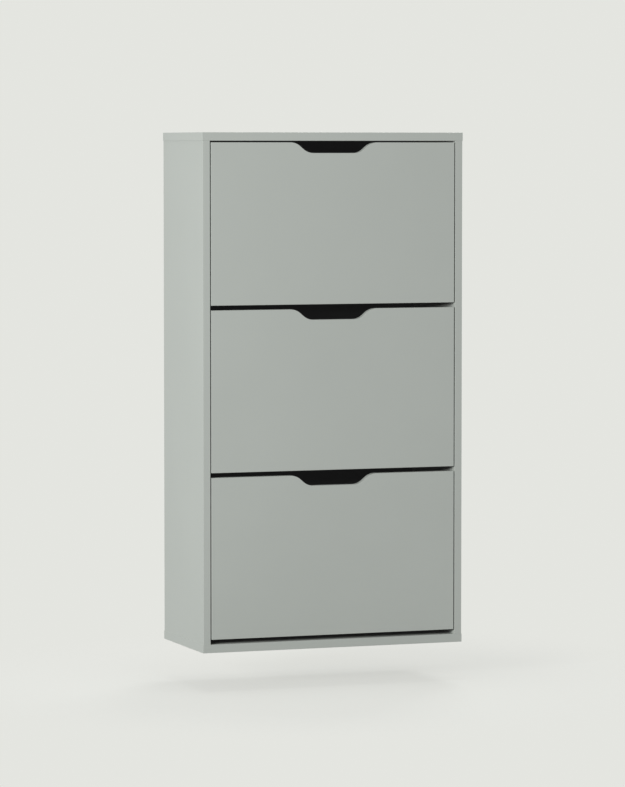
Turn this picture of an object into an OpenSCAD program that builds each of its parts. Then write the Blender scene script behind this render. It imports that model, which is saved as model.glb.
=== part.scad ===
// Shoe cabinet with three inset tilt-out flaps.
// Flat-pack boards, cam fittings, and a double-row shoe rack behind each flap.
// X runs across, +Y to the back and +Z up. The origin is under the middle of the cabinet.

/* [Cabinet] */
// Overall width across the top board
cabinet_w = 600; // [560:1:700]
// Overall depth, front edge to back edge
cabinet_d = 275; // [270:1:320]
// Overall height
cabinet_h = 1120; // [1110:1:1200]
// Thickness of the top and bottom boards
cap_t = 18; // [18:1:22]
// Thickness of the side boards
side_t = 16; // [16:1:19]
// How far the top and bottom boards stand past the sides, each side
cap_overhang = 1; // [0:0.5:2]
// Thickness of the back panel
back_t = 3; // [2.5:0.5:3]
// Height of the two hanging rails behind the back panel
rail_h = 80; // [70:1:110]
// Thickness of the hanging rails
rail_t = 16; // [16:1:18]

/* [Flaps] */
// Thickness of the flap boards
flap_t = 16; // [16:1:18]
// Gap between a flap and the side board, each side
flap_side_gap = 2.5; // [2:0.5:4]
// Gap under each flap
flap_gap = 10.5; // [10:0.5:12]
// Gap over the top flap
flap_top_gap = 3.5; // [2:0.5:5]

/* [Finger pull] */
// Width of the cut-out at the flap's top edge
pull_w = 200; // [190:1:240]
// Width of the cut-out's flat bottom
pull_flat_w = 94; // [80:1:100]
// Depth of the cut-out
pull_d = 23; // [20:1:24]
// Radius of its curved corners
pull_r = 35.5; // [20:0.5:35.5]

/* [Tilt] */
// Pivot axis behind the flap's front face
pivot_in = 24; // [23:0.5:24]
// Pivot axis above the flap's bottom edge
pivot_up = 30; // [30:1:34]
// Opening angle
open_angle = 48; // [30:1:48]
// Distance of the stop pin from the pivot
stop_r = 110; // [100:1:112]
// Angle of the stop pin behind the vertical through the pivot
stop_lean = 5; // [4:0.5:6]

/* [Shoe rack] */
// Depth of the front row of shoes
front_row_d = 108; // [106:1:110]
// Depth of the rear row of shoes
rear_row_d = 106; // [96:1:106]
// Thickness of the rack's boards
shelf_t = 4; // [3:0.5:4]
// How much higher the rear row stands
row_step = 34; // [24:1:44]
// Height of the divider above the front floor
divider_h = 188; // [150:1:190]
// Height of the rack's rear panel above the rear floor
rear_panel_h = 90; // [60:1:100]
// Wall thickness of the plastic cheeks
cheek_t = 3; // [2.5:0.5:3]
// Gap between a cheek and the side board
cheek_gap = 4; // [4:0.5:5]

/* [Wall fixing] */
// Distance between the wall screws, across
wall_hole_w = 440; // [300:10:440]
// Radius of the wall screw holes
wall_hole_r = 3; // [2.5:0.5:4]

/* [Hidden] */
TIERS = ["bottom", "middle", "top"];
FLAP_PARTS = [
    "flap_front", "left_cheek", "right_cheek", "front_floor", "divider",
    "rear_floor", "rear_panel", "pivot_pins", "cheek_screws"
];
CABINET_PARTS = [
    "top_panel", "bottom_panel", "left_side", "right_side", "back_panel",
    "upper_rail", "lower_rail", "cam_locks", "cam_bolts", "dowels",
    "pivot_bushes", "stop_pins", "stop_sleeves"
];

$fn = 64;
cut = 1; // how far a cutter runs past the face it opens
fit_gap = 0.3; // play between pieces that move past each other

// Places in the cabinet
side_x = cabinet_w / 2 - cap_overhang; // outer face of the right side board
inner_x = side_x - side_t; // its inner face
front_y = -cabinet_d / 2;
rear_y = cabinet_d / 2;
cap_z = cabinet_h - cap_t; // underside of the top board
inner_h = cap_z - cap_t;
rail_y = rear_y - rail_t; // front face of the rails

// Back panel, let into grooves all round
groove_w = 3.4;
groove_deep = 6;
groove_y = rail_y - fit_gap / 2 - groove_w;
back_y = groove_y + (groove_w - back_t) / 2;
back_reach = groove_deep - 0.5; // how far the panel stands in its groove
screw_access_r = 8; // hole in the back panel around each wall screw

// Flaps, counted from the bottom
flap_w = 2 * (inner_x - flap_side_gap);
flap_h = (inner_h - flap_top_gap - 3 * flap_gap) / 3;
function flap_z(i) = cap_t + flap_gap + i * (flap_h + flap_gap);
pivot_y = front_y + pivot_in;
function pivot_z(i) = flap_z(i) + pivot_up;

// Finger pull: two equal arcs each side, joined by a short straight tangent to both
pull_arc = min(pull_r, 0.245 * (pow((pull_w - pull_flat_w) / 2, 2) + pow(pull_d, 2)) / pull_d);
pull_lip = [pull_w / 2, -pull_arc]; // centre of the outer arc
pull_hollow = [pull_flat_w / 2, pull_arc - pull_d]; // centre of the inner arc
pull_slope = atan2(pull_lip.y - pull_hollow.y, pull_lip.x - pull_hollow.x)
    + asin(2 * pull_arc / norm(pull_lip - pull_hollow));

// Shoe rack, measured from the pivot: y to the back, z up
board_back = flap_t - pivot_in; // back face of the flap board
front_floor_z = -16;
divider_y = board_back + front_row_d;
rear_floor_z = front_floor_z + row_step;
rear_panel_y = divider_y + shelf_t + rear_row_d;
shelf_play = 0.2; // end play of the boards in the cheeks
channel_wall = 2.5;
rim_w = 2.5; // stiffening rim around a cheek
rim_deep = 8;
cheek_rear = rear_panel_y + shelf_t + 4;
cheek_low = front_floor_z - 4;
cheek_x = inner_x - cheek_gap - cheek_t; // inner face of the right cheek's wall
flange_t = 3; // the cheek's flange on the flap board
flange_w = 22;
flange_top = 236;
slot_r = 5.3; // half the width of the stop slot
slot_ease = 0.05; // extra radius of the slot's round ends
slot_rim = 2;
slot_rim_deep = 3;
rib_w = 2;
rib_deep = 4;

// Pivot
pin_r = 3;
pin_head_r = 5;
pin_head_t = 2;
hub_r = 7;
hub_deep = 8; // how far the hub stands inwards from the cheek's wall
pin_play = 0.05;
bush_r = 5;
bush_deep = 11;
bush_flange_r = 8;
bush_flange_t = 1.5;
pin_end = inner_x + bush_deep - 2;

// Stop
stop_pin_r = 3;
stop_shank_r = 2.5;
stop_shank_deep = 10;
stop_head_r = 4.6;
stop_head_t = 1.5;
stop_sleeve_r = slot_r - fit_gap;
stop_reach = 12; // how far the stop pin stands out of the side board

// Cheek screws
screw_r = 1.75;
screw_hole_r = 2;
screw_deep = 11;
screw_head_r = 3.6;
screw_head_t = 2.2;
screw_x = cheek_x - 13; // clear of the hub and of the rim
screw_z = [28, 96, 164, 222];

// Cam fittings and dowels
cam_r = 7.5;
cam_deep = 12.5;
cam_in = 34; // cam centre from the end of the board
cam_channel_r = 4;
bolt_r = 3.2;
bolt_thread_r = 2.8;
bolt_thread_deep = 11;
bolt_neck_r = 2;
dowel_r = 4;
dowel_long = 23; // in the board's end
dowel_short = 12; // in the other board's face
fixing_ys = [front_y + 60, groove_y - 40]; // cams of the sides
dowel_ys = [front_y + 92, groove_y - 72];
rail_zs = [cap_t + rail_h / 2, cap_z - rail_h / 2]; // middle of each rail
rail_fixing_dz = rail_h / 4;

SAGE = "#A9B0A8";
BLACK = "#232425";
STEEL = "#B4B6B8";

// ---------------------------------------------------------------- helpers

module both_sides() {
    children();
    mirror([1, 0, 0]) children();
}

// A flat shape drawn as (y, z) and given a thickness along +X from x
module upright(x, t) {
    translate([x, 0, 0]) rotate([90, 0, 90]) linear_extrude(t) children();
}

// Rods along the three axes, each starting at the point given
module rod_x(p, r, l) {
    translate(p) rotate([0, 90, 0]) cylinder(h = l, r = r);
}
module rod_y(p, r, l) {
    translate(p) rotate([-90, 0, 0]) cylinder(h = l, r = r);
}
module rod_z(p, r, l) {
    translate(p) cylinder(h = l, r = r);
}

module box(low, high) {
    translate(low) cube(high - low);
}

// Moves a shape drawn about the pivot to the flap of tier i
module at_pivot(i) {
    translate([0, pivot_y, pivot_z(i)]) children();
}

// Points of a circle's arc from angle a to angle b
function arc(c, r, a, b, steps = 8) =
    [for (s = [0 : steps]) let (t = a + (b - a) * s / steps) c + r * [cos(t), sin(t)]];

// Where the stop pin stands, from the pivot
stop_at = stop_r * [sin(stop_lean), cos(stop_lean)];

// ---------------------------------------------------------------- joinery

// Shapes below are for the right side board. both_sides() and end_for_end() repeat them.
// end_for_end() repeats a shape drawn at the bottom end of a side board at its top end.
module end_for_end() {
    children();
    translate([0, 0, cabinet_h]) mirror([0, 0, 1]) children();
}

module at_cams() {
    for (y = fixing_ys) translate([inner_x, y, cap_t]) children();
}

module at_dowels() {
    for (y = dowel_ys) translate([inner_x, y, cap_t]) children();
}

// A rail's right-hand end, at the height of its middle
module at_rail_ends(dz) {
    for (z = rail_zs) translate([inner_x, rail_y + rail_t / 2, z + dz]) children();
}

// Cam bolt standing on the face z = 0, its thread below and its head above
module cam_bolt_shape() {
    neck = 4;
    head = 3;
    rod_z([0, 0, -bolt_thread_deep], bolt_thread_r, bolt_thread_deep);
    rod_z([0, 0, 0], bolt_r, cam_in - neck);
    rod_z([0, 0, cam_in - neck], bolt_neck_r, neck);
    rod_z([0, 0, cam_in], bolt_r, head);
}

// Cam lock centred on the Z axis, its open face at z = 0, its channel towards -X
module cam_shape() {
    play = 0.1;
    slot = [9, 1.6, 2.5];
    difference() {
        rod_z([0, 0, -cam_deep + play], cam_r - play, cam_deep - play);
        rod_x([-cam_r - cut, 0, -side_t / 2], cam_channel_r, cam_r + cut + cam_channel_r);
        for (a = [45, 135]) {
            rotate([0, 0, a]) translate([0, 0, -slot.z / 2 + cut / 2]) cube(slot + [0, 0, cut], center = true);
        }
    }
}

// ---------------------------------------------------------------- cabinet

module cap_board() {
    difference() {
        box([-cabinet_w / 2, front_y, 0], [cabinet_w / 2, rear_y, cap_t]);
        box(
            [-inner_x - groove_deep, groove_y, cap_t - groove_deep],
            [inner_x + groove_deep, groove_y + groove_w, cap_t + cut]
        );
        both_sides() {
            at_cams() rod_z([side_t / 2, 0, -bolt_thread_deep], bolt_thread_r, bolt_thread_deep + cut);
            at_dowels() rod_z([side_t / 2, 0, -dowel_short], dowel_r, dowel_short + cut);
        }
    }
}

module bottom_panel() {
    color(SAGE) cap_board();
}

module top_panel() {
    color(SAGE) translate([0, 0, cabinet_h]) mirror([0, 0, 1]) cap_board();
}

module side_board() {
    difference() {
        box([inner_x, front_y, cap_t], [side_x, rear_y, cap_z]);
        box(
            [inner_x - cut, groove_y, cap_t - cut],
            [inner_x + groove_deep, groove_y + groove_w, cap_z + cut]
        );
        end_for_end() {
            at_cams() {
                rod_z([side_t / 2, 0, -cut], cam_channel_r, cam_in + cut);
                rod_x([-cut, 0, cam_in], cam_r, cam_deep + cut);
            }
            at_dowels() rod_z([side_t / 2, 0, -cut], dowel_r, dowel_long + cut);
        }
        at_rail_ends(-rail_fixing_dz) rod_x([-cut, 0, 0], bolt_thread_r, bolt_thread_deep + cut);
        at_rail_ends(rail_fixing_dz) rod_x([-cut, 0, 0], dowel_r, dowel_short + cut);
        for (i = [0 : 2]) {
            at_pivot(i) rod_x([inner_x - cut, 0, 0], bush_r, bush_deep + cut);
            at_pivot(i) {
                rod_x([inner_x - cut, stop_at.x, stop_at.y], stop_shank_r, stop_shank_deep + cut);
            }
        }
    }
}

module right_side() {
    color(SAGE) side_board();
}

module left_side() {
    color(SAGE) mirror([1, 0, 0]) side_board();
}

module back_panel() {
    reach = inner_x + back_reach;
    color(BLACK) difference() {
        box(
            [-reach, back_y, cap_t - back_reach],
            [reach, back_y + back_t, cap_z + back_reach]
        );
        for (x = [-1, 1] * wall_hole_w / 2) {
            for (z = rail_zs) rod_y([x, back_y - cut, z], screw_access_r, back_t + 2 * cut);
        }
    }
}

// The rail at height z has its cams on the rear face
module rail(z) {
    difference() {
        box([-inner_x, rail_y, z - rail_h / 2], [inner_x, rear_y, z + rail_h / 2]);
        for (x = [-1, 1] * wall_hole_w / 2) {
            rod_y([x, rail_y - cut, z], wall_hole_r, rail_t + 2 * cut);
        }
        both_sides() translate([inner_x, rail_y + rail_t / 2, z]) {
            rod_x([-cam_in, 0, -rail_fixing_dz], cam_channel_r, cam_in + cut);
            rod_y([-cam_in, rail_t / 2 - cam_deep, -rail_fixing_dz], cam_r, cam_deep + cut);
            rod_x([-dowel_long, 0, rail_fixing_dz], dowel_r, dowel_long + cut);
        }
    }
}

module lower_rail() {
    color(SAGE) rail(rail_zs[0]);
}

module upper_rail() {
    color(SAGE) rail(rail_zs[1]);
}

module cam_locks() {
    color(STEEL) both_sides() {
        end_for_end() at_cams() {
            translate([0, 0, cam_in]) rotate([0, -90, 0]) cam_shape();
        }
        at_rail_ends(-rail_fixing_dz) {
            translate([-cam_in, rail_t / 2, 0]) rotate([0, 180, 0]) rotate([-90, 0, 0]) cam_shape();
        }
    }
}

module cam_bolts() {
    color(STEEL) both_sides() {
        end_for_end() at_cams() translate([side_t / 2, 0, 0]) cam_bolt_shape();
        at_rail_ends(-rail_fixing_dz) rotate([0, -90, 0]) cam_bolt_shape();
    }
}

module dowels() {
    whole = dowel_short + dowel_long - 2;
    color("#D8B98A") both_sides() {
        end_for_end() at_dowels() rod_z([side_t / 2, 0, 1 - dowel_short], dowel_r, whole);
        at_rail_ends(rail_fixing_dz) rod_x([1 - dowel_long, 0, 0], dowel_r, whole);
    }
}

module pivot_bushes() {
    color(BLACK) both_sides() for (i = [0 : 2]) at_pivot(i) difference() {
        union() {
            rod_x([inner_x - bush_flange_t, 0, 0], bush_flange_r, bush_flange_t);
            rod_x([inner_x, 0, 0], bush_r, bush_deep);
        }
        rod_x([inner_x - bush_flange_t - cut, 0, 0], pin_r + pin_play, bush_flange_t + bush_deep);
    }
}

module stop_pins() {
    color(STEEL) both_sides() for (i = [0 : 2]) at_pivot(i) {
        translate([inner_x, stop_at.x, stop_at.y]) {
            rod_x([0, 0, 0], stop_shank_r, stop_shank_deep);
            rod_x([-stop_reach, 0, 0], stop_pin_r, stop_reach);
            rod_x([-stop_reach, 0, 0], stop_head_r, stop_head_t);
        }
    }
}

module stop_sleeves() {
    long = stop_reach - stop_head_t;
    color("#303234") both_sides() for (i = [0 : 2]) at_pivot(i) {
        translate([inner_x - long, stop_at.x, stop_at.y]) difference() {
            rod_x([0, 0, 0], stop_sleeve_r, long);
            rod_x([-cut, 0, 0], stop_pin_r, long + 2 * cut);
        }
    }
}

// ---------------------------------------------------------------- flap and finger pull

// The cut-out, drawn with the board's top edge on y = 0
module pull_outline() {
    half = concat(
        [[pull_w / 2, cut]],
        arc(pull_lip, pull_arc, 90, 90 + pull_slope, 12),
        arc(pull_hollow, pull_arc, pull_slope - 90, -90, 12)
    );
    polygon(concat(half, [for (k = [len(half) - 1 : -1 : 0]) [-half[k].x, half[k].y]]));
}

module flap_front(i) {
    color(SAGE) difference() {
        box([-flap_w / 2, front_y, flap_z(i)], [flap_w / 2, front_y + flap_t, flap_z(i) + flap_h]);
        translate([0, front_y + flap_t + cut, flap_z(i) + flap_h]) {
            rotate([90, 0, 0]) linear_extrude(flap_t + 2 * cut) pull_outline();
        }
        at_pivot(i) both_sides() for (z = screw_z) {
            rod_y([screw_x, board_back - screw_deep, z], screw_r, screw_deep + cut);
        }
    }
}

// ---------------------------------------------------------------- cheek

// Outline as (y, z) from the pivot: upright at the front, sloping down to the rear row
module cheek_outline() {
    low_r = 10;
    rear_r = 16;
    top_r = 34;
    front_top = [board_back + flange_w + 8, flange_top];
    rear_top = [cheek_rear, rear_floor_z + rear_panel_h + 22];
    fall = atan2(front_top.y - rear_top.y, rear_top.x - front_top.x); // slope of the top edge
    polygon([
        [board_back, cheek_low],
        each arc([divider_y + shelf_t, cheek_low + low_r], low_r, -90, -90 + fall / 2),
        each arc([cheek_rear - rear_r, rear_floor_z - 4 + rear_r], rear_r, -60, 0),
        each arc(rear_top - [top_r, 0], top_r, 0, 90 - fall),
        each arc(front_top - [0, top_r], top_r, 90 - fall, 90),
        [board_back, flange_top]
    ]);
}

// Slot about the pivot that the stop pin runs in, wider or narrower by grow
module stop_slot(x, t, grow = 0) {
    r = slot_r + grow;
    first = 90 - stop_lean - open_angle;
    translate([x, 0, 0]) rotate([90, 0, 90]) {
        rotate([0, 0, first]) rotate_extrude(angle = open_angle) translate([stop_r - r, 0]) square([2 * r, t]);
        for (a = [first, first + open_angle]) {
            rotate([0, 0, a]) translate([stop_r, 0, 0]) cylinder(h = t, r = r + slot_ease);
        }
    }
}

// Room for the rack's four boards, as (y, z) rectangles grown all round by g
module shelf_sections(g = 0) {
    translate([board_back, front_floor_z - g]) square([front_row_d + shelf_t + g, shelf_t + 2 * g]);
    translate([divider_y - g, front_floor_z + shelf_t]) square([shelf_t + 2 * g, divider_h + g]);
    translate([divider_y + shelf_t, rear_floor_z - g]) square([rear_row_d + shelf_t + g, shelf_t + 2 * g]);
    translate([rear_panel_y - g, rear_floor_z + shelf_t]) square([shelf_t + 2 * g, rear_panel_h + g]);
}

// Ribs that fan out from the hub to the rim
module cheek_ribs() {
    for (a = [31, 50, 72]) {
        rotate(a) translate([hub_r - cut, -rib_w / 2]) square([cheek_rear + flange_top, rib_w]);
    }
}

module cheek() {
    hub_end = inner_x - bush_flange_t - fit_gap;
    difference() {
        union() {
            upright(cheek_x, cheek_t) cheek_outline();
            upright(cheek_x - rim_deep, rim_deep) difference() {
                cheek_outline();
                offset(delta = -rim_w) cheek_outline();
            }
            upright(cheek_x - rim_deep, rim_deep) intersection() {
                cheek_outline();
                shelf_sections(channel_wall);
            }
            upright(cheek_x - rib_deep, rib_deep) intersection() {
                cheek_outline();
                cheek_ribs();
            }
            stop_slot(cheek_x - slot_rim_deep, slot_rim_deep, slot_rim);
            box([cheek_x - flange_w, board_back, hub_r], [cheek_x, board_back + flange_t, flange_top]);
            rod_x([cheek_x - hub_deep, 0, 0], hub_r, hub_end - cheek_x + hub_deep);
        }
        upright(cheek_x - rim_deep - cut, rim_deep + cut) shelf_sections();
        stop_slot(cheek_x - slot_rim_deep - cut, slot_rim_deep + cheek_t + 2 * cut);
        rod_x([cheek_x - hub_deep - cut, 0, 0], pin_r, cheek_t + hub_deep + 5 + cut);
        for (z = screw_z) rod_y([screw_x, board_back - cut, z], screw_hole_r, flange_t + 2 * cut);
    }
}

module right_cheek(i) {
    color(BLACK) at_pivot(i) cheek();
}

module left_cheek(i) {
    color(BLACK) at_pivot(i) mirror([1, 0, 0]) cheek();
}

// ---------------------------------------------------------------- rack boards

// A board of the rack between the cheeks, from its low corner to its high corner as (y, z)
module shelf(i, low, high) {
    reach = cheek_x - shelf_play;
    color(BLACK) at_pivot(i) box([-reach, low.x, low.y], [reach, high.x, high.y]);
}

module front_floor(i) {
    shelf(i, [board_back, front_floor_z], [divider_y + shelf_t, front_floor_z + shelf_t]);
}

module divider(i) {
    foot = front_floor_z + shelf_t;
    shelf(i, [divider_y, foot], [divider_y + shelf_t, foot + divider_h]);
}

module rear_floor(i) {
    shelf(i, [divider_y + shelf_t, rear_floor_z], [rear_panel_y + shelf_t, rear_floor_z + shelf_t]);
}

module rear_panel(i) {
    foot = rear_floor_z + shelf_t;
    shelf(i, [rear_panel_y, foot], [rear_panel_y + shelf_t, foot + rear_panel_h]);
}

// ---------------------------------------------------------------- pins and screws

module pivot_pins(i) {
    head_x = cheek_x - hub_deep - pin_head_t;
    color(STEEL) at_pivot(i) both_sides() {
        rod_x([head_x, 0, 0], pin_head_r, pin_head_t);
        rod_x([head_x, 0, 0], pin_r, pin_end - head_x);
    }
}

module cheek_screws(i) {
    seat = board_back + flange_t;
    slot = [4, 0.9, 1.4];
    color(STEEL) at_pivot(i) both_sides() for (z = screw_z) translate([screw_x, seat, z]) difference() {
        union() {
            rod_y([0, -flange_t - screw_deep + 1, 0], screw_r, flange_t + screw_deep);
            rod_y([0, 0, 0], screw_head_r, screw_head_t);
        }
        for (a = [0, 90]) {
            rotate([0, a, 0]) translate([0, screw_head_t, 0]) cube([slot.x, 2 * slot.z, slot.y], center = true);
        }
    }
}

// ---------------------------------------------------------------- the whole cabinet

top_panel();
bottom_panel();
left_side();
right_side();
back_panel();
upper_rail();
lower_rail();
cam_locks();
cam_bolts();
dowels();
pivot_bushes();
stop_pins();
stop_sleeves();
for (i = [0 : 2]) {
    flap_front(i);
    left_cheek(i);
    right_cheek(i);
    front_floor(i);
    divider(i);
    rear_floor(i);
    rear_panel(i);
    pivot_pins(i);
    cheek_screws(i);
}
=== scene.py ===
# %% [markdown]
# # A shoe cabinet with three tilt-out flaps
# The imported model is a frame: every board, pin and screw is already at its real size and place.
# This script gives it its looks. The boards that show are modelled again with softened edges, the
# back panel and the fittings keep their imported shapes, and every piece gets a finish of its own.
# Lengths are in metres. The flaps face -Y, +Z is up, and the cabinet hangs clear of the floor.

# %% Load the frame
import math
import bpy
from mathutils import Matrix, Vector


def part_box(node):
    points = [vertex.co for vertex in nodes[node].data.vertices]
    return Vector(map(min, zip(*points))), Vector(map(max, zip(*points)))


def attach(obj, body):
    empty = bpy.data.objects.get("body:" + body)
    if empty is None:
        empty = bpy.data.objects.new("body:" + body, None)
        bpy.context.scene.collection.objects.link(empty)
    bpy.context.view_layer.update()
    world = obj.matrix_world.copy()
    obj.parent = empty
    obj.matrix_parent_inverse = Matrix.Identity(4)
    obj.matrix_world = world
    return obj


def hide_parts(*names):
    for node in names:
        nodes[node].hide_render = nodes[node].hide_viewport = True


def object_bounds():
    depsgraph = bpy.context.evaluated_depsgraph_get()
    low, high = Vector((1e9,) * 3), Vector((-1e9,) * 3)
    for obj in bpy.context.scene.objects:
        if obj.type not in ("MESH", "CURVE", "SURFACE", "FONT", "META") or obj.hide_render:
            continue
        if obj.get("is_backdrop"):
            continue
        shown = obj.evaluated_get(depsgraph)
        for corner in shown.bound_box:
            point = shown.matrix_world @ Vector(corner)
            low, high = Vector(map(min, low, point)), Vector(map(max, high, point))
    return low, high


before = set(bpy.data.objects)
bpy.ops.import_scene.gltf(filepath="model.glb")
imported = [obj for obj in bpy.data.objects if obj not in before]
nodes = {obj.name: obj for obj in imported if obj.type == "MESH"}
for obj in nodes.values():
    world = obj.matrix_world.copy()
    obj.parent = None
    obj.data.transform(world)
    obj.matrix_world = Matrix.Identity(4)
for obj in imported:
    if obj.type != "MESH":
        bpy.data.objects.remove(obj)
cad_low, cad_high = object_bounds()
MM = 0.001
TIERS = ["bottom", "middle", "top"]

# %% [markdown]
# ## The camera
# Tall furniture is shown from far off with a long lens, so that its upright edges stay parallel.
# Here the camera stands nearly nine metres away, level with the top board and some twenty degrees
# round to the left. The sideways shift of a view camera would keep the uprights exactly parallel,
# but a shift would push the cabinet out of every other view, so the camera nods down instead. At
# this distance the uprights lean too little to notice.

# %% Camera
camera_place = Vector((-2.948, -8.124, 1.084))
camera_turn = math.radians(-19.946)
camera_nod = math.radians(-3.559)
camera_lens = 179.75  # millimetres, on a sensor 36 mm wide
camera_sight = 100  # metres, well past everything in the set

bpy.ops.object.camera_add(
    location=camera_place,
    rotation=(math.radians(90) + camera_nod, 0, camera_turn),
)
camera = bpy.context.object
camera.data.lens = camera_lens
camera.data.clip_end = camera_sight
bpy.context.scene.camera = camera
print("camera", round((camera_place - (cad_low + cad_high) / 2).length, 2), "m from the cabinet")

# %% [markdown]
# ## Colours and nodes
# A colour is written as a web colour, the way a paint maker would, and one function turns it into
# the linear values that shaders add up. One more function adds a shader node with its settings and
# links. A link may name another node's output, or only the node, and then the link starts from the
# first output that the node has in use. So each finish below reads from pattern to shader.

# %% Helpers for materials
SHARE, FIRST, SECOND = 0, 6, 7  # the sockets of a Mix node that blends two colours


def colour(web):
    """A web colour such as A9B0A8 as linear red, green and blue."""
    channels = [int(web[i:i + 2], 16) / 255 for i in (0, 2, 4)]
    linear = [c / 12.92 if c <= 0.04045 else ((c + 0.055) / 1.055) ** 2.4 for c in channels]
    return (*linear, 1.0)


def fill(node, inputs):
    """Fills a node's sockets, each with a plain value or with a link."""
    for socket, value in inputs.items():
        if isinstance(value, bpy.types.Node):
            value = next(output for output in value.outputs if output.enabled)
        if isinstance(value, bpy.types.NodeSocket):
            node.id_data.links.new(value, node.inputs[socket])
        else:
            node.inputs[socket].default_value = value


def add(tree, kind, inputs, **settings):
    """Adds a shader node with its settings and links."""
    node = tree.nodes.new("ShaderNode" + kind)
    for name, value in settings.items():
        setattr(node, name, value)
    fill(node, inputs)
    return node


def new_material(name, inputs):
    """A material, its node tree, its shader, and each point's place on the object in metres."""
    material = bpy.data.materials.new(name)
    material.use_nodes = True
    tree = material.node_tree
    shader = tree.nodes["Principled BSDF"]
    fill(shader, inputs)
    place = add(tree, "TexCoord", {}).outputs["Object"]
    return material, tree, shader, place


print("helpers ready")

# %% [markdown]
# ## Sage-green lacquer
# The boards are fibreboard sprayed with a water-based polyurethane lacquer and left matt. Sprayed
# lacquer dries with orange peel, a very low ripple one or two millimetres across, and a matt one
# spreads its highlight over the whole board, so the colour seems to drift slowly from light to
# shade. That drift is painted into the colour here: a painted highlight and painted shade that
# wander slowly across every board. A painted texture could hold all that, but noise at the real
# sizes fits every board and never repeats. The ripple is drawn at three millimetres, as coarse as
# it needs to be to show.

# %% Material: sage lacquer
sage, tree, shader, place = new_material("sprayed_sage_lacquer", {"IOR": 1.47})
# The slow noise mixes a lighter and a darker sage: painted highlight and painted shade across the board.
drift = add(tree, "TexNoise", {"Vector": place, "Scale": 1 / (240 * MM), "Detail": 3})
tint = add(tree, "Mix", {SHARE: drift, FIRST: colour("A3A8A2"), SECOND: colour("A8ADA7")}, data_type="RGBA")
rubbed = add(tree, "TexNoise", {"Vector": place, "Scale": 1 / (30 * MM), "Detail": 4})
sheen = add(tree, "MapRange", {"Value": rubbed, "To Min": 0.46, "To Max": 0.54})
peel = add(tree, "TexNoise", {"Vector": place, "Scale": 1 / (3 * MM), "Detail": 1})
ripple = add(tree, "Bump", {"Height": peel, "Distance": 0.03 * MM, "Strength": 0.35})
fill(shader, {"Base Color": tint, "Roughness": sheen, "Normal": ripple})
print("made", sage.name)

# %% [markdown]
# ## Black laminate
# The rack's shelves are thin hardboard, faced on both sides with black laminate. It is pressed
# between plates with a fine leather-like grain, which breaks the light into a soft, uneven sheen.
# One noise drives both the grain's height and its gloss, because on the real one the high spots
# are also the ones that are rubbed smooth.

# %% Material: black laminate
laminate, tree, shader, place = new_material("pressed_black_laminate", {"IOR": 1.5})
drift = add(tree, "TexNoise", {"Vector": place, "Scale": 1 / (90 * MM), "Detail": 3})
tint = add(tree, "Mix", {SHARE: drift, FIRST: colour("1E1F20"), SECOND: colour("262728")}, data_type="RGBA")
grain = add(tree, "TexNoise", {
    "Vector": place, "Scale": 1 / (1.6 * MM), "Detail": 3, "Roughness": 0.6,
})
sheen = add(tree, "MapRange", {"Value": grain, "To Min": 0.42, "To Max": 0.6})
relief = add(tree, "Bump", {"Height": grain, "Distance": 0.08 * MM, "Strength": 0.5})
fill(shader, {"Base Color": tint, "Roughness": sheen, "Normal": relief})
print("made", laminate.name)

# %% [markdown]
# ## Hardboard back
# The back panel has the same black face on the inside, but its rear is bare: brown wood fibre,
# matted in every direction, with darker and lighter flocks and the print of the wire screen that it
# was pressed on. Two materials on two sets of faces would do, but one material that chooses by
# depth in the board needs no face to be picked out. The screen's wires are drawn six millimetres
# apart, twice as coarse as real, so that they show.

# %% Hardboard: the fibres and their brown
back_low, back_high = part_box("back_panel")
middle = (back_low.y + back_high.y) / 2
hardboard, tree, shader, place = new_material("hardboard_black_face_bare_back", {"IOR": 1.5})
axes = add(tree, "SeparateXYZ", {"Vector": place})
rear = add(tree, "Math", {0: axes.outputs["Y"], 1: middle}, operation="GREATER_THAN")
fibre = add(tree, "TexNoise", {
    "Vector": place, "Scale": 1 / (3 * MM), "Detail": 6, "Roughness": 0.75,
})
flock = add(tree, "TexNoise", {
    "Vector": place, "Scale": 1 / (14 * MM), "Detail": 5, "Roughness": 0.7,
})
cloud = add(tree, "TexNoise", {"Vector": place, "Scale": 1 / (90 * MM), "Detail": 3})
flocks = add(tree, "MapRange", {"Value": flock, "To Min": -0.6, "To Max": 1.6})
brown = add(tree, "Mix", {SHARE: flocks, FIRST: colour("6E5037"), SECOND: colour("A8835C")}, data_type="RGBA")
for pattern, web in ((fibre, "5E4029"), (cloud, "8A6747")):
    half = add(tree, "MapRange", {"Value": pattern, "To Min": 0.0, "To Max": 0.5})
    brown = add(tree, "Mix", {SHARE: half, FIRST: brown, SECOND: colour(web)}, data_type="RGBA")
face = add(tree, "Mix", {SHARE: cloud, FIRST: colour("2A2B2C"), SECOND: colour("313233")}, data_type="RGBA")
tint = add(tree, "Mix", {SHARE: rear, FIRST: face, SECOND: brown}, data_type="RGBA")
sheen = add(tree, "MapRange", {"Value": fibre, "To Min": 0.55, "To Max": 0.85})
fill(shader, {"Base Color": tint, "Roughness": sheen})
print("made", hardboard.name, "bare behind y =", round(middle, 4))

# %% Hardboard: the print of the screen
screen_gap = 6 * MM
screen_share = 0.5  # the print's height beside the fibres' own
wires = []
for axis in ("X", "Z"):
    turns = add(tree, "Math", {0: axes.outputs[axis], 1: math.tau / screen_gap}, operation="MULTIPLY")
    wires.append(add(tree, "Math", {0: turns}, operation="SINE"))
screen = add(tree, "Math", {0: wires[0], 1: wires[1]}, operation="MULTIPLY")
printed = add(tree, "Math", {0: screen, 1: rear}, operation="MULTIPLY")
height = add(tree, "Math", {0: printed, 1: screen_share, 2: fibre}, operation="MULTIPLY_ADD")
relief = add(tree, "Bump", {"Height": height, "Distance": 0.25 * MM, "Strength": 0.6})
fill(shader, {"Normal": relief})
print("screen wires", screen_gap / MM, "mm apart")

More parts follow.
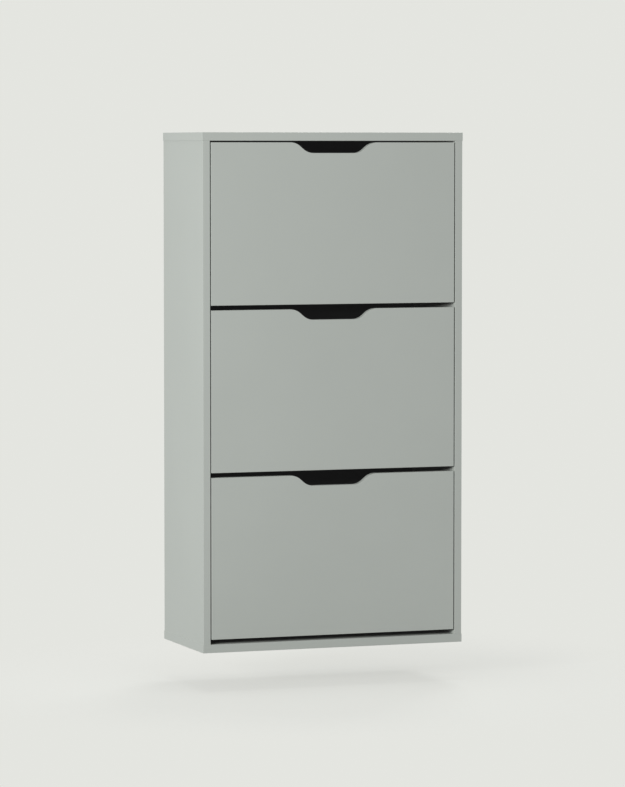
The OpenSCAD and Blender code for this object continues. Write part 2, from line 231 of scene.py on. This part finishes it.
# %% [markdown]
# ## Black moulded plastic
# The cheeks and the pivot bushes are injection-moulded ABS. The mould is spark-eroded, which leaves
# a fine sandy texture that breaks up every reflection. Real grains are about a tenth of a millimetre
# across. They are drawn at a little over a millimetre, so that they show, as a bump whose gloss
# follows it.

# %% Material: moulded ABS
plastic, tree, shader, place = new_material("moulded_black_abs", {"IOR": 1.53})
drift = add(tree, "TexNoise", {"Vector": place, "Scale": 1 / (50 * MM)})
tint = add(tree, "Mix", {SHARE: drift, FIRST: colour("212223"), SECOND: colour("292A2B")}, data_type="RGBA")
sand = add(tree, "TexNoise", {
    "Vector": place, "Scale": 1 / (1.2 * MM), "Detail": 2, "Roughness": 0.7,
})
sheen = add(tree, "MapRange", {"Value": sand, "To Min": 0.45, "To Max": 0.62})
relief = add(tree, "Bump", {"Height": sand, "Distance": 0.06 * MM, "Strength": 0.6})
fill(shader, {"Base Color": tint, "Roughness": sheen, "Normal": relief})
print("made", plastic.name)

# %% [markdown]
# ## Zinc-plated steel
# The pins, bolts and screws are steel with bright zinc plate. The film is thin and a little patchy,
# so its tint wanders from blue-grey to straw and its gloss with it. Both follow one noise.

# %% Material: zinc-plated steel
steel, tree, shader, place = new_material("zinc_plated_steel", {"Metallic": 1.0})
patch = add(tree, "TexNoise", {"Vector": place, "Scale": 1 / (6 * MM), "Detail": 3})
tint = add(tree, "Mix", {SHARE: patch, FIRST: colour("B9BCC0"), SECOND: colour("CFCFC8")}, data_type="RGBA")
sheen = add(tree, "MapRange", {"Value": patch, "To Min": 0.24, "To Max": 0.38})
speck = add(tree, "TexNoise", {"Vector": place, "Scale": 1 / (0.8 * MM)})
relief = add(tree, "Bump", {"Height": speck, "Distance": 0.02 * MM, "Strength": 0.4})
fill(shader, {"Base Color": tint, "Roughness": sheen, "Normal": relief})
print("made", steel.name)

# %% [markdown]
# ## Die-cast zinc
# The cam locks are cast under pressure and left as they fall from the die, so they are duller and
# greyer than plated steel and slightly pitted.

# %% Material: die-cast zinc
cast_zinc, tree, shader, place = new_material("die_cast_zinc", {"Metallic": 1.0})
patch = add(tree, "TexNoise", {"Vector": place, "Scale": 1 / (4 * MM), "Detail": 4})
tint = add(tree, "Mix", {SHARE: patch, FIRST: colour("8E9194"), SECOND: colour("A5A7A8")}, data_type="RGBA")
sheen = add(tree, "MapRange", {"Value": patch, "To Min": 0.42, "To Max": 0.6})
pits = add(tree, "TexNoise", {"Vector": place, "Scale": 1 / (0.7 * MM), "Detail": 3})
relief = add(tree, "Bump", {"Height": pits, "Distance": 0.05 * MM, "Strength": 0.6})
fill(shader, {"Base Color": tint, "Roughness": sheen, "Normal": relief})
print("made", cast_zinc.name)

# %% [markdown]
# ## Rubber
# The sleeves that soften the stops are black rubber. Rubber sweats a dry pale bloom with age, so it
# is nearly black with greyer patches and has almost no shine.

# %% Material: rubber
rubber, tree, shader, place = new_material("black_rubber", {"IOR": 1.52})
bloom = add(tree, "TexNoise", {"Vector": place, "Scale": 1 / (3 * MM), "Detail": 3})
tint = add(tree, "Mix", {SHARE: bloom, FIRST: colour("1A1A1B"), SECOND: colour("2B2B2C")}, data_type="RGBA")
sheen = add(tree, "MapRange", {"Value": bloom, "To Min": 0.75, "To Max": 0.9})
skin = add(tree, "TexNoise", {"Vector": place, "Scale": 1 / (0.6 * MM)})
relief = add(tree, "Bump", {"Height": skin, "Distance": 0.03 * MM, "Strength": 0.5})
fill(shader, {"Base Color": tint, "Roughness": sheen, "Normal": relief})
print("made", rubber.name)

# %% [markdown]
# ## Beech
# The dowels are turned from beech, a pale pinkish wood with short darker flecks along the grain. A
# Mapping node stretches the flecks upwards, because eight of the twelve dowels stand upright. The
# four that lie across are hidden in the ends of the rails.

# %% Material: beech
beech, tree, shader, place = new_material("beech_dowel", {"IOR": 1.5})
along = add(tree, "Mapping", {"Vector": place, "Scale": (1, 1, 0.12)})
fleck = add(tree, "TexNoise", {
    "Vector": along, "Scale": 1 / (0.9 * MM), "Detail": 3, "Roughness": 0.7,
})
tint = add(tree, "Mix", {SHARE: fleck, FIRST: colour("BC9466"), SECOND: colour("DDBE92")}, data_type="RGBA")
sheen = add(tree, "MapRange", {"Value": fleck, "To Min": 0.55, "To Max": 0.7})
relief = add(tree, "Bump", {"Height": fleck, "Distance": 0.1 * MM, "Strength": 0.4})
fill(shader, {"Base Color": tint, "Roughness": sheen, "Normal": relief})
print("made", beech.name)

# %% [markdown]
# ## Modelling tools
# Every board starts as a primitive at its size and place. Its edges are then eased: a sander takes
# off the sharp corner before spraying, and that narrow round is what catches the light on a real
# board. The big faces have to stay flat in the shading, so the normals are weighted by face area.
# What repeats is modelled once and copied, and each copy has its own mesh.

# %% Start, ease, copy and finish a piece
sharp_edge = math.radians(40)  # an edge that turns more is eased
smooth_limit = math.radians(50)  # an edge that turns less is shaded smooth


def choose(piece):
    """Selects one piece and nothing else."""
    bpy.ops.object.select_all(action="DESELECT")
    piece.select_set(True)
    bpy.context.view_layer.objects.active = piece


def rename(piece, name):
    """Names a piece and its mesh alike."""
    piece.name = name
    piece.data.name = name
    return piece


def start_cube(name, low, high):
    """Adds a cube that fills the box from low to high, with its origin at the scene's."""
    bpy.ops.object.select_all(action="DESELECT")
    bpy.ops.mesh.primitive_cube_add(size=1, location=(low + high) / 2, scale=high - low)
    bpy.ops.object.transform_apply(location=True, rotation=True, scale=True)
    return rename(bpy.context.object, name)


def ease_edges(radius, segments=3):
    """In edit mode, rounds every sharp edge of the open mesh."""
    bpy.ops.mesh.select_mode(type="EDGE")
    bpy.ops.mesh.select_all(action="DESELECT")
    bpy.ops.mesh.edges_select_sharp(sharpness=sharp_edge)
    bpy.ops.mesh.bevel(offset=radius, segments=segments, profile=0.5, affect="EDGES", clamp_overlap=True)


def copy_piece(piece, name, shift):
    """Copies a piece with its mesh, and shifts the copy with its origin left in place."""
    choose(piece)
    bpy.ops.object.duplicate()
    twin = bpy.context.object
    twin.location = shift
    bpy.ops.object.transform_apply(location=True, rotation=True, scale=True)
    return rename(twin, name)


def finish_piece(piece, node, body, material):
    """Smooths a piece, gives it its finish and sets it on its body in place of its node."""
    choose(piece)
    bpy.ops.object.shade_smooth_by_angle(angle=smooth_limit)
    weighted = piece.modifiers.new("flat_faces", "WEIGHTED_NORMAL")
    weighted.keep_sharp = True
    bpy.ops.object.modifier_apply(modifier=weighted.name)
    piece.data.materials.clear()
    piece.data.materials.append(material)
    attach(piece, body)
    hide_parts(node)
    print(piece.name, "has", len(piece.data.polygons), "faces")


board_ease = 0.45 * MM
print("boards are eased by", board_ease / MM, "mm")

# %% [markdown]
# ## Top and bottom boards
# They run right across and stand a millimetre past the sides. Both are the same plain board, so one
# cube with eased edges makes both. A live Bevel modifier would round them as well, but easing them
# in edit mode leaves a finished mesh that every other program reads alike.

# %% Top and bottom boards
low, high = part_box("top_panel")
top_board = start_cube("top_board", low, high)
bpy.ops.object.mode_set(mode="EDIT")
ease_edges(board_ease)
bpy.ops.object.mode_set(mode="OBJECT")
bottom_board = copy_piece(top_board, "bottom_board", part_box("bottom_panel")[0] - low)
finish_piece(top_board, "top_panel", "cabinet", sage)
finish_piece(bottom_board, "bottom_panel", "cabinet", sage)

# %% [markdown]
# ## Side boards
# Each side has a groove for the back panel and round pockets for its cam locks. With a flap open
# they can be seen on the inside. They are made in a joiner's order: the long edges are eased on an
# overlong board, the board is cut square to length, a router cuts the groove and a drill the
# pockets. Cut last, the two ends stay crisp, so that each meets the top or bottom board in a
# hairline joint. The cutters are primitives too, and a Boolean modifier takes each one away. The
# two sides are mirror images, so each is cut from a board of its own and nothing is turned over.

# %% Cutters
drill_sides = 48
cutter_overrun = 1 * MM  # past each end of the board


def cut_to_length(low, high):
    """In edit mode, saws the open mesh off square at two heights."""
    for end, normal in ((low.z, (0, 0, -1)), (high.z, (0, 0, 1))):
        bpy.ops.mesh.select_all(action="SELECT")
        bpy.ops.mesh.bisect(plane_co=(0, 0, end), plane_no=normal, use_fill=True, clear_outer=True)


def cut_away(piece, cutter):
    """Takes the cutter out of the piece, and removes it."""
    boolean = piece.modifiers.new("cut", "BOOLEAN")
    boolean.operation = "DIFFERENCE"
    boolean.solver = "EXACT"
    boolean.object = cutter
    choose(piece)
    bpy.ops.object.modifier_apply(modifier=boolean.name)
    bpy.data.objects.remove(cutter)


def start_drill(centre, radius, length):
    """Adds a drill that lies along X."""
    bpy.ops.object.select_all(action="DESELECT")
    bpy.ops.mesh.primitive_cylinder_add(
        vertices=drill_sides, radius=radius, depth=length, location=centre,
        rotation=(0, math.radians(90), 0),
    )
    bpy.ops.object.transform_apply(location=True, rotation=True, scale=True)
    return bpy.context.object


groove_play = 0.2 * MM  # on each face of the back panel
groove_deep = 6 * MM
pocket_radius = 7.5 * MM
pocket_deep = 12.5 * MM
pocket_from_end = 34 * MM
pocket_from_front = 60 * MM
pocket_from_groove = 40 * MM
print("cutters ready")

# %% Side boards
overlong = Vector((0, 0, 5 * MM))
pocket_ys = [cad_low.y + pocket_from_front, back_low.y - groove_play - pocket_from_groove]
for node, side in (("left_side", -1), ("right_side", 1)):
    low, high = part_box(node)
    inner_x = high.x if side < 0 else low.x
    piece = start_cube(node + "_board", low - overlong, high + overlong)
    bpy.ops.object.mode_set(mode="EDIT")
    ease_edges(board_ease)
    cut_to_length(low, high)
    bpy.ops.object.mode_set(mode="OBJECT")
    groove = start_cube(
        "groove",
        Vector((inner_x - groove_deep, back_low.y - groove_play, low.z - cutter_overrun)),
        Vector((inner_x + groove_deep, back_high.y + groove_play, high.z + cutter_overrun)),
    )
    cut_away(piece, groove)
    for pocket_y in pocket_ys:
        for pocket_z in (low.z + pocket_from_end, high.z - pocket_from_end):
            drill = start_drill((inner_x, pocket_y, pocket_z), pocket_radius, 2 * pocket_deep)
            cut_away(piece, drill)
    finish_piece(piece, node, "cabinet", sage)

# %% [markdown]
# ## Flap boards
# The finger pull is the one shaped line on the whole front: each end rolls down in an arc, runs
# straight for a few millimetres and rolls out again into the flat bottom. A spindle moulder follows
# such a line from a template. Here one point is spun and extruded all round the board's outline,
# the outline is filled and the face is extruded to the board's thickness. Spinning gives true arcs,
# which a subdivided edge would only approach.

# %% Finger pull
pull_width = 200 * MM  # across the board's top edge
pull_flat = 94 * MM
pull_depth = 23 * MM
pull_radius = 35.5 * MM
pull_steps = 12  # edges in each arc

run = (pull_width - pull_flat) / 2
rise = 2 * pull_radius - pull_depth
pull_slope = math.asin(2 * pull_radius / math.hypot(run, rise)) - math.atan2(rise, run)
pull_straight = 2 * math.sqrt((run / 2) ** 2 + (rise / 2) ** 2 - pull_radius ** 2)
print("the pull slopes at", round(math.degrees(pull_slope), 1), "degrees")
print("its straight part is", round(pull_straight / MM, 1), "mm long")

# %% Flap board outline
def roll(centre, angle):
    """Spins the selected point. Seen from the front, a positive angle turns clockwise."""
    bpy.ops.mesh.spin(steps=pull_steps, angle=angle, center=centre, axis=(0, -1, 0))


def draw(x, z):
    """Draws a straight line from the selected point."""
    bpy.ops.mesh.extrude_region_move(TRANSFORM_OT_translate={"value": (x, 0, z)})


def start_outline(name, low, high):
    """Draws a flap board's front outline as one filled face, and stays in edit mode."""
    front, top = low.y, high.z
    bpy.ops.object.select_all(action="DESELECT")
    bpy.ops.mesh.primitive_plane_add(size=MM, location=(-pull_width / 2, front, top))
    bpy.ops.object.transform_apply(location=True, rotation=True, scale=True)
    piece = rename(bpy.context.object, name)
    bpy.ops.object.mode_set(mode="EDIT")
    bpy.ops.mesh.select_mode(type="VERT")
    bpy.ops.mesh.select_all(action="SELECT")
    bpy.ops.mesh.merge(type="CENTER")
    roll((-pull_width / 2, front, top - pull_radius), pull_slope)
    draw(pull_straight * math.cos(pull_slope), -pull_straight * math.sin(pull_slope))
    roll((-pull_flat / 2, front, top - pull_depth + pull_radius), -pull_slope)
    draw(pull_flat, 0)
    roll((pull_flat / 2, front, top - pull_depth + pull_radius), -pull_slope)
    draw(pull_straight * math.cos(pull_slope), pull_straight * math.sin(pull_slope))
    roll((pull_width / 2, front, top - pull_radius), pull_slope)
    draw(high.x - pull_width / 2, 0)
    draw(0, low.z - high.z)
    draw(low.x - high.x, 0)
    draw(0, high.z - low.z)
    bpy.ops.mesh.select_all(action="SELECT")
    bpy.ops.mesh.edge_face_add()
    return piece


print("outline tools ready")

# %% Flap boards
meeting_gap = 0.01 * MM  # points nearer than this are one
low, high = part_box("bottom_flap_front")
flap_board = start_outline("bottom_flap_board", low, high)
bpy.ops.mesh.extrude_region_move(TRANSFORM_OT_translate={"value": (0, high.y - low.y, 0)})
bpy.ops.mesh.select_all(action="SELECT")
bpy.ops.mesh.remove_doubles(threshold=meeting_gap)
bpy.ops.mesh.normals_make_consistent(inside=False)
ease_edges(board_ease)
bpy.ops.object.mode_set(mode="OBJECT")
boards = {"bottom": flap_board}
for tier in ("middle", "top"):
    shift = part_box(tier + "_flap_front")[0] - low
    boards[tier] = copy_piece(flap_board, tier + "_flap_board", shift)
for tier in TIERS:
    finish_piece(boards[tier], tier + "_flap_front", tier + "_flap", sage)

# %% [markdown]
# ## Rack shelves
# Four thin shelves span between the cheeks of each rack: a floor and a divider for the front row,
# a floor and a low panel for the rear row. Their ends stand in the cheeks' channels. They are sawn
# strips, so a cube with its edges eased is a true likeness. Each is made once, in the bottom rack,
# and copied up to the other two.

# %% Rack shelves
shelf_ease = 0.4 * MM
shelves = {}
for part in ("front_floor", "divider", "rear_floor", "rear_panel"):
    node = "bottom_" + part
    low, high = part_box(node)
    shelves[node] = start_cube(node + "_shelf", low, high)
    bpy.ops.object.mode_set(mode="EDIT")
    ease_edges(shelf_ease, segments=2)
    bpy.ops.object.mode_set(mode="OBJECT")
first_shelves = dict(shelves)
for tier in ("middle", "top"):
    for first, shelf in first_shelves.items():
        node = first.replace("bottom", tier)
        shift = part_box(node)[0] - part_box(first)[0]
        shelves[node] = copy_piece(shelf, node + "_shelf", shift)
for node, shelf in shelves.items():
    tier = node.split("_")[0]
    finish_piece(shelf, node, tier + "_flap", laminate)

# %% [markdown]
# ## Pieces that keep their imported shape
# The back panel, rails, cheeks, pins, screws, cams and bushes are right as they are: their holes and
# slots have to match each other, and modelling them again could only bring them out of line. Their
# meshes are left alone, and each one takes its finish in place of the plain one it came with.

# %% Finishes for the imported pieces
def dress(node, material):
    """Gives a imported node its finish."""
    piece = nodes[node]
    piece.data.materials.clear()
    piece.data.materials.append(material)


dress("back_panel", hardboard)
dress("upper_rail", sage)
dress("lower_rail", sage)
dress("cam_locks", cast_zinc)
dress("cam_bolts", steel)
dress("dowels", beech)
dress("pivot_bushes", plastic)
dress("stop_pins", steel)
dress("stop_sleeves", rubber)
for tier in TIERS:
    dress(tier + "_left_cheek", plastic)
    dress(tier + "_right_cheek", plastic)
    dress(tier + "_pivot_pins", steel)
    dress(tier + "_cheek_screws", steel)
print("packed pieces dressed")

# %% [markdown]
# ## Floor
# The set is a pale seamless studio. A cabinet this close over a real floor would leave a heavy
# shadow, and in a studio flooded with light only a trace of it is left. So the floor is a thin veil:
# mostly clear, with a share of matt white that takes the shadow, and it fades out all round into the
# backdrop's colour, so that no edge and no horizon show. A white plane that reached out of sight
# would be simpler, but its far edge would show as a horizon from low down.

# %% Floor
floor_drop = 86 * MM
floor_reach = 0.95
floor_sides = 96
bpy.ops.object.select_all(action="DESELECT")
bpy.ops.mesh.primitive_circle_add(
    vertices=floor_sides, radius=floor_reach, fill_type="NGON", location=(0, 0, cad_low.z - floor_drop)
)
floor = bpy.context.object
floor.name = "studio_floor"
floor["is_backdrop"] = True
print("floor at z =", round(cad_low.z - floor_drop, 3))

# %% Material: floor veil
veil_share = 0.26
veil_fades_from = 0.5  # metres from the middle, and it is gone at floor_reach
cloud_size = 0.5  # metres
paint, tree, shader, place = new_material("pale_floor_veil", {"Roughness": 1.0})
shade = add(tree, "TexNoise", {"Vector": place, "Scale": 1 / cloud_size})
tint = add(tree, "Mix", {SHARE: shade, FIRST: colour("D4D5D1"), SECOND: colour("D8D9D5")}, data_type="RGBA")
reach = add(tree, "VectorMath", {0: place}, operation="LENGTH").outputs["Value"]
veil = add(tree, "MapRange", {
    "Value": reach, "From Min": veil_fades_from, "From Max": floor_reach, "To Min": veil_share, "To Max": 0.0,
}, interpolation_type="SMOOTHSTEP")
fill(shader, {"Base Color": tint, "Alpha": veil})
floor.data.materials.append(paint)
print("made", paint.name)

# %% [markdown]
# ## Card under the floor
# Over a clear floor, pale air would shine up at the cabinet from below. Studios lay a dark card
# where light has to be kept off. This one lies under the floor, out of the camera's sight, and lets
# the cabinet's lower end darken a little, as it does over any real floor. It is grey felt, which
# takes light and gives hardly any back.

# %% Card under the floor
card_drop = 110 * MM
card_reach = 0.5
card_sides = 64
card_middle = Vector((-0.1, -0.07, cad_low.z - card_drop))
bpy.ops.object.select_all(action="DESELECT")
bpy.ops.mesh.primitive_circle_add(
    vertices=card_sides, radius=card_reach, fill_type="NGON", location=card_middle
)
card = bpy.context.object
card.name = "dark_card"
card.visible_camera = False
felt, tree, shader, place = new_material("grey_felt_card", {"Roughness": 1.0})
nap = add(tree, "TexNoise", {"Vector": place, "Scale": 1 / (4 * MM)})
tint = add(tree, "Mix", {SHARE: nap, FIRST: colour("3A3B3A"), SECOND: colour("444544")}, data_type="RGBA")
fill(shader, {"Base Color": tint})
card.data.materials.append(felt)
card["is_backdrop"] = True
print("card at z =", round(card_middle.z, 3))

# %% [markdown]
# ## Air
# The backdrop that the camera sees and the light that the room gives are two things in a studio,
# and so they are here: one background for the camera, and a slightly bluer, dimmer one for
# everything else. A Light Path node tells the two apart.

# %% Air
air_strength = 0.47
world = bpy.data.worlds.new("pale_studio")
bpy.context.scene.world = world
world.use_nodes = True
air = world.node_tree
backdrop = air.nodes["Background"]
fill(backdrop, {"Color": colour("E4E5E0")})
ambient = add(air, "Background", {"Color": colour("F4F4F6"), "Strength": air_strength})
seen = add(air, "LightPath", {}).outputs["Is Camera Ray"]
both = add(air, "MixShader", {0: seen, 1: ambient, 2: backdrop})
fill(air.nodes["World Output"], {"Surface": both})
print("air lit at", air_strength)

# %% [markdown]
# ## Lights
# A large soft light stands far out at the left and a little in front, so the side is lighter than
# the front and the front darkens slowly to the right. It stands a little higher than the cabinet,
# so that the edges over the gaps keep most of it out of them. A weak light overhead brings the top
# board up and puts the shadow under the cabinet, and one high up behind serves the views of the
# back. Sun lamps would light it as evenly, but with hard shadows.

# %% Lights
def soft_light(name, place, target, width, height, watts):
    """Adds a rectangle of light that faces a point."""
    bpy.ops.object.light_add(type="AREA", location=place)
    light = bpy.context.object
    light.name = name
    light.data.shape = "RECTANGLE"
    light.data.size = width
    light.data.size_y = height
    light.data.energy = watts
    light.rotation_euler = (Vector(target) - Vector(place)).to_track_quat("-Z", "Y").to_euler()
    print(name, "gives", watts, "W")


soft_light("key_light", (-5.4, -3.7, 1.75), target=(0, 0, 0.5), width=2.6, height=1.3, watts=452)
soft_light("top_light", (-0.3, -0.2, 4.4), target=(0, 0, 0), width=1.6, height=1.2, watts=48)
soft_light("rear_light", (2.6, 3.8, 4.4), target=(0, 0, 0.6), width=2.4, height=1.8, watts=170)

# %% [markdown]
# ## Film
# Colours come out as they are mixed, without a film curve. Every lens scatters a little light over
# all that it sees, so even the deepest gap never looks quite black. A small lift of the black point
# does the same.

# %% Film
film = bpy.context.scene.view_settings
film.view_transform = "Standard"
lens_flare = 0.0062  # of full white
film.use_curve_mapping = True
film.curve_mapping.black_level = (-lens_flare, -lens_flare, -lens_flare)
film.curve_mapping.update()
print("film", film.view_transform, "with its black point lifted by", lens_flare)

# %% [markdown]
# ## Size and finish
# The dressed cabinet has to stay inside the imported model's box. The dressed box's size is printed.

# %% Sizes and finish
low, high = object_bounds()
print("dressed box", high - low)
